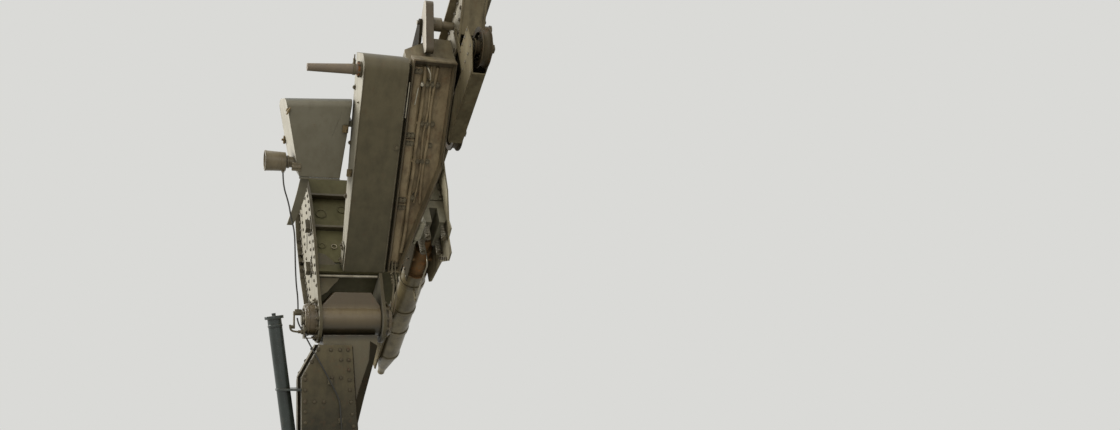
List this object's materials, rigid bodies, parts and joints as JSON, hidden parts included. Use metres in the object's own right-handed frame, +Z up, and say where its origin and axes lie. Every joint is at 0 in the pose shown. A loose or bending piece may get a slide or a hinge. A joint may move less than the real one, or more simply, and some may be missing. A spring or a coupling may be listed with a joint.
{
  "type": "cable car carriage with hanger",
  "caption": "Running gear of a cable car: wheeled carriage for a sloping track rope, with pivot hub, hood, rope guard and swinging hanger.",
  "frame": {"origin": "on the axis of the track rope, at the middle of the carriage", "axes": "+X level, up the line; +Y level, across the line; +Z up. The rope rises 34 degrees towards +X."},
  "size_m": [3.9825, 1.679, 4.5591],
  "materials": {
    "steel_plate": "satin",
    "beam_steel": "satin",
    "leg_steel": "satin",
    "hanger_steel": "satin",
    "casting": "rough",
    "shaft_steel": "worn",
    "hood_steel": "satin",
    "rusty_joint": "rough",
    "trough_steel": "worn",
    "tube_steel": "satin",
    "sleeve_rubber": "matt",
    "cable_black": "matt"
  },
  "bodies": {
    "carriage": {"beam_plate_near": "beam_steel", "beam_plate_far": "beam_steel", "beam_deck": "beam_steel", "diaphragms": "beam_steel", "bogie_pins": "shaft_steel", "outer_leg_upper": "leg_steel", "outer_leg_lower": "leg_steel", "inner_leg_upper": "leg_steel", "inner_leg_lower": "leg_steel", "transom_upper": "beam_steel", "transom_lower": "beam_steel", "crown_outer": "beam_steel", "crown_inner": "beam_steel", "bearing_plate_outer": "steel_plate", "bearing_plate_inner": "steel_plate", "bearings": "casting", "pivot_shaft": "shaft_steel", "cable_stand": "steel_plate", "cross_ties": "steel_plate", "web_panel": "steel_plate", "guard_far": "steel_plate", "guard_near": "steel_plate", "rope_brake": "steel_plate", "joint_tube": "rusty_joint", "coupling": "trough_steel", "rope_trough": "trough_steel", "rope_nose": "trough_steel", "trough_straps": "steel_plate", "brake_rod": "shaft_steel", "release_shaft": "shaft_steel", "release_lever": "steel_plate", "release_bar": "steel_plate", "hood": "hood_steel", "horn": "hood_steel", "grip_fitting": "rusty_joint", "grip_sleeve": "sleeve_rubber", "curtain": "hood_steel", "cable_carriage": "cable_black"},
    "bogie_upper": {"bogie_upper": "steel_plate", "axles_upper": "shaft_steel"},
    "bogie_lower": {"bogie_lower": "steel_plate", "axles_lower": "shaft_steel"},
    "wheel_1": {"wheel_1": "casting"},
    "wheel_2": {"wheel_2": "casting"},
    "wheel_3": {"wheel_3": "casting"},
    "wheel_4": {"wheel_4": "casting"},
    "hanger": {"hub": "casting", "hanger_front": "hanger_steel", "hanger_rear": "hanger_steel", "hanger_web": "hanger_steel", "foot_flange": "hanger_steel", "capped_tube": "tube_steel", "tube_brackets": "hanger_steel", "cable_clips": "steel_plate", "cable_hanger": "cable_black"}
  },
  "joints": [
    {"name": "bogie_upper_tilt", "type": "hinge", "parent": "carriage", "child": "bogie_upper", "pos_m": [1.03028, 0, 1.29804], "axis": [0, 1, 0], "range_deg": [-4, 4]},
    {"name": "bogie_lower_tilt", "type": "hinge", "parent": "carriage", "child": "bogie_lower", "pos_m": [-1.58948, 0, -0.46901], "axis": [0, 1, 0], "range_deg": [-4, 4]},
    {"name": "wheel_1_spin", "type": "hinge", "parent": "bogie_lower", "child": "wheel_1", "pos_m": [-1.76077, 0, -1.0019], "axis": [0, 1, 0], "continuous": true},
    {"name": "wheel_2_spin", "type": "hinge", "parent": "bogie_lower", "child": "wheel_2", "pos_m": [-1.03122, 0, -0.50981], "axis": [0, 1, 0], "continuous": true},
    {"name": "wheel_3_spin", "type": "hinge", "parent": "bogie_upper", "child": "wheel_3", "pos_m": [0.85899, 0, 0.76515], "axis": [0, 1, 0], "continuous": true},
    {"name": "wheel_4_spin", "type": "hinge", "parent": "bogie_upper", "child": "wheel_4", "pos_m": [1.58854, 0, 1.25724], "axis": [0, 1, 0], "continuous": true},
    {"name": "hanger_swing", "type": "hinge", "parent": "carriage", "child": "hanger", "pos_m": [0.50775, 0, -0.75277], "axis": [0, 1, 0], "range_deg": [-49, 15]}
  ]
}
